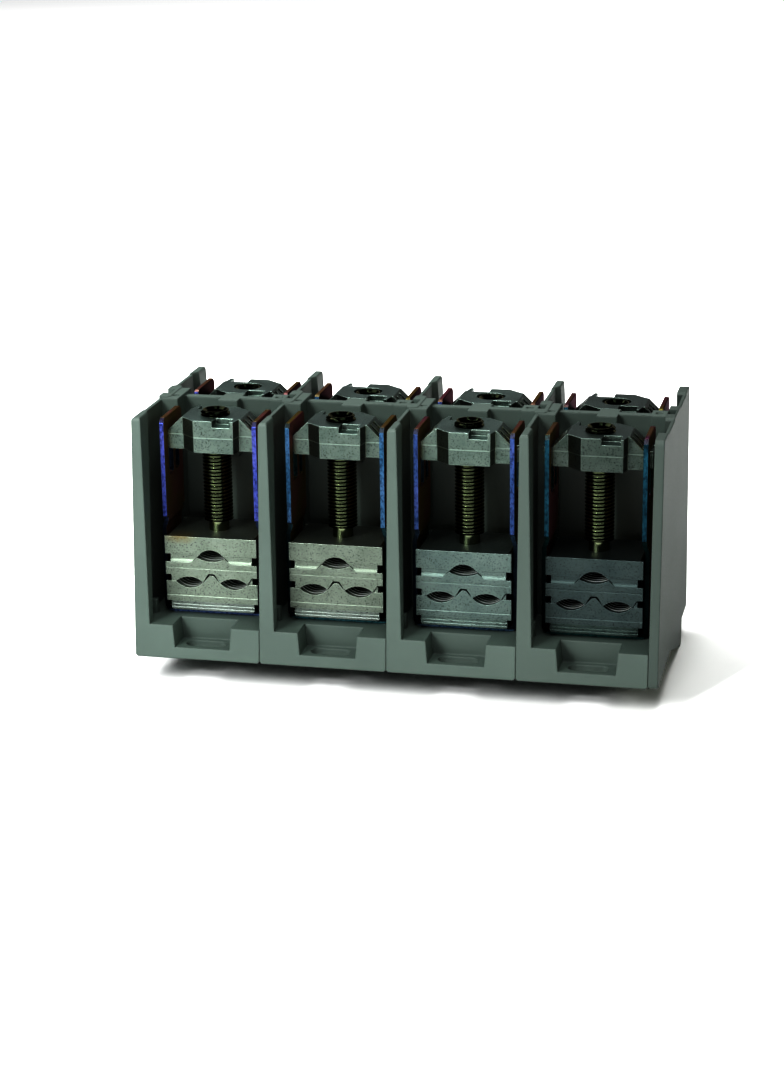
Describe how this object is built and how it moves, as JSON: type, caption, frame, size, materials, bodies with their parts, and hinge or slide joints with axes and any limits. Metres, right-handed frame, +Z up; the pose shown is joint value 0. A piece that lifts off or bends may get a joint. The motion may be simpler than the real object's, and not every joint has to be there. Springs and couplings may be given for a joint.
{
  "type": "terminal strip",
  "caption": "Multi-pole terminal strip for heavy conductors: moulded housings side by side, each with a front and a rear screw box clamp.",
  "frame": {"origin": "centre of the four outer fixing slots, on the underside of the base", "axes": "+X along the strip towards the end plate, +Y from the front clamps to the rear ones, +Z up"},
  "size_m": [0.2159, 0.1066, 0.1107],
  "materials": {
    "housing_plastic": "moulded grey-green plastic, satin",
    "rail_metal": "tinned metal",
    "strap_steel": "iridescent passivated steel sheet",
    "bridge_casting": "die-cast zinc, as cast",
    "screw_steel": "yellow passivated steel",
    "clamp_metal": "plated casting, satin"
  },
  "bodies": {
    "strip": {"housing_1": "housing_plastic", "housing_2": "housing_plastic", "housing_3": "housing_plastic", "housing_4": "housing_plastic", "end_plate": "housing_plastic", "rail_1": "rail_metal", "rail_2": "rail_metal", "rail_3": "rail_metal", "rail_4": "rail_metal", "strap_front_1": "strap_steel", "strap_front_2": "strap_steel", "strap_front_3": "strap_steel", "strap_front_4": "strap_steel", "strap_rear_1": "strap_steel", "strap_rear_2": "strap_steel", "strap_rear_3": "strap_steel", "strap_rear_4": "strap_steel", "bridge_front_1": "bridge_casting", "bridge_front_2": "bridge_casting", "bridge_front_3": "bridge_casting", "bridge_front_4": "bridge_casting", "bridge_rear_1": "bridge_casting", "bridge_rear_2": "bridge_casting", "bridge_rear_3": "bridge_casting", "bridge_rear_4": "bridge_casting", "middle_front_1": "clamp_metal", "middle_front_2": "clamp_metal", "middle_front_3": "clamp_metal", "middle_front_4": "clamp_metal", "middle_rear_1": "clamp_metal", "middle_rear_2": "clamp_metal", "middle_rear_3": "clamp_metal", "middle_rear_4": "clamp_metal", "lower_front_1": "clamp_metal", "lower_front_2": "clamp_metal", "lower_front_3": "clamp_metal", "lower_front_4": "clamp_metal", "lower_rear_1": "clamp_metal", "lower_rear_2": "clamp_metal", "lower_rear_3": "clamp_metal", "lower_rear_4": "clamp_metal"},
    "jaw_front_1": {"pressure_front_1": "clamp_metal"},
    "screw_front_1": {"screw_front_1": "screw_steel"},
    "jaw_front_2": {"pressure_front_2": "clamp_metal"},
    "screw_front_2": {"screw_front_2": "screw_steel"},
    "jaw_front_3": {"pressure_front_3": "clamp_metal"},
    "screw_front_3": {"screw_front_3": "screw_steel"},
    "jaw_front_4": {"pressure_front_4": "clamp_metal"},
    "screw_front_4": {"screw_front_4": "screw_steel"},
    "jaw_rear_1": {"pressure_rear_1": "clamp_metal"},
    "screw_rear_1": {"screw_rear_1": "screw_steel"},
    "jaw_rear_2": {"pressure_rear_2": "clamp_metal"},
    "screw_rear_2": {"screw_rear_2": "screw_steel"},
    "jaw_rear_3": {"pressure_rear_3": "clamp_metal"},
    "screw_rear_3": {"screw_rear_3": "screw_steel"},
    "jaw_rear_4": {"pressure_rear_4": "clamp_metal"},
    "screw_rear_4": {"screw_rear_4": "screw_steel"}
  },
  "joints": [
    {"name": "jaw_lift_front_1", "type": "slide", "parent": "strip", "child": "jaw_front_1", "axis": [0, 0, 1], "range_m": [0, 0.0346]},
    {"name": "screw_turn_front_1", "type": "hinge", "parent": "jaw_front_1", "child": "screw_front_1", "pos_m": [-0.079, -0.0242, 0.097], "axis": [0, 0, 1], "range_deg": [0, 8280]},
    {"name": "jaw_lift_front_2", "type": "slide", "parent": "strip", "child": "jaw_front_2", "axis": [0, 0, 1], "range_m": [0, 0.0346]},
    {"name": "screw_turn_front_2", "type": "hinge", "parent": "jaw_front_2", "child": "screw_front_2", "pos_m": [-0.026, -0.0242, 0.097], "axis": [0, 0, 1], "range_deg": [0, 8280]},
    {"name": "jaw_lift_front_3", "type": "slide", "parent": "strip", "child": "jaw_front_3", "axis": [0, 0, 1], "range_m": [0, 0.0346]},
    {"name": "screw_turn_front_3", "type": "hinge", "parent": "jaw_front_3", "child": "screw_front_3", "pos_m": [0.027, -0.0242, 0.097], "axis": [0, 0, 1], "range_deg": [0, 8280]},
    {"name": "jaw_lift_front_4", "type": "slide", "parent": "strip", "child": "jaw_front_4", "axis": [0, 0, 1], "range_m": [0, 0.0346]},
    {"name": "screw_turn_front_4", "type": "hinge", "parent": "jaw_front_4", "child": "screw_front_4", "pos_m": [0.08, -0.0242, 0.097], "axis": [0, 0, 1], "range_deg": [0, 8280]},
    {"name": "jaw_lift_rear_1", "type": "slide", "parent": "strip", "child": "jaw_rear_1", "axis": [0, 0, 1], "range_m": [0, 0.0346]},
    {"name": "screw_turn_rear_1", "type": "hinge", "parent": "jaw_rear_1", "child": "screw_rear_1", "pos_m": [-0.079, 0.0242, 0.097], "axis": [0, 0, 1], "range_deg": [0, 8280]},
    {"name": "jaw_lift_rear_2", "type": "slide", "parent": "strip", "child": "jaw_rear_2", "axis": [0, 0, 1], "range_m": [0, 0.0346]},
    {"name": "screw_turn_rear_2", "type": "hinge", "parent": "jaw_rear_2", "child": "screw_rear_2", "pos_m": [-0.026, 0.0242, 0.097], "axis": [0, 0, 1], "range_deg": [0, 8280]},
    {"name": "jaw_lift_rear_3", "type": "slide", "parent": "strip", "child": "jaw_rear_3", "axis": [0, 0, 1], "range_m": [0, 0.0346]},
    {"name": "screw_turn_rear_3", "type": "hinge", "parent": "jaw_rear_3", "child": "screw_rear_3", "pos_m": [0.027, 0.0242, 0.097], "axis": [0, 0, 1], "range_deg": [0, 8280]},
    {"name": "jaw_lift_rear_4", "type": "slide", "parent": "strip", "child": "jaw_rear_4", "axis": [0, 0, 1], "range_m": [0, 0.0346]},
    {"name": "screw_turn_rear_4", "type": "hinge", "parent": "jaw_rear_4", "child": "screw_rear_4", "pos_m": [0.08, 0.0242, 0.097], "axis": [0, 0, 1], "range_deg": [0, 8280]}
  ],
  "couplings": [
    {"joint": "jaw_lift_front_1", "follows": "screw_turn_front_1", "m_per_rad": 0.00023873},
    {"joint": "jaw_lift_front_2", "follows": "screw_turn_front_2", "m_per_rad": 0.00023873},
    {"joint": "jaw_lift_front_3", "follows": "screw_turn_front_3", "m_per_rad": 0.00023873},
    {"joint": "jaw_lift_front_4", "follows": "screw_turn_front_4", "m_per_rad": 0.00023873},
    {"joint": "jaw_lift_rear_1", "follows": "screw_turn_rear_1", "m_per_rad": 0.00023873},
    {"joint": "jaw_lift_rear_2", "follows": "screw_turn_rear_2", "m_per_rad": 0.00023873},
    {"joint": "jaw_lift_rear_3", "follows": "screw_turn_rear_3", "m_per_rad": 0.00023873},
    {"joint": "jaw_lift_rear_4", "follows": "screw_turn_rear_4", "m_per_rad": 0.00023873}
  ]
}
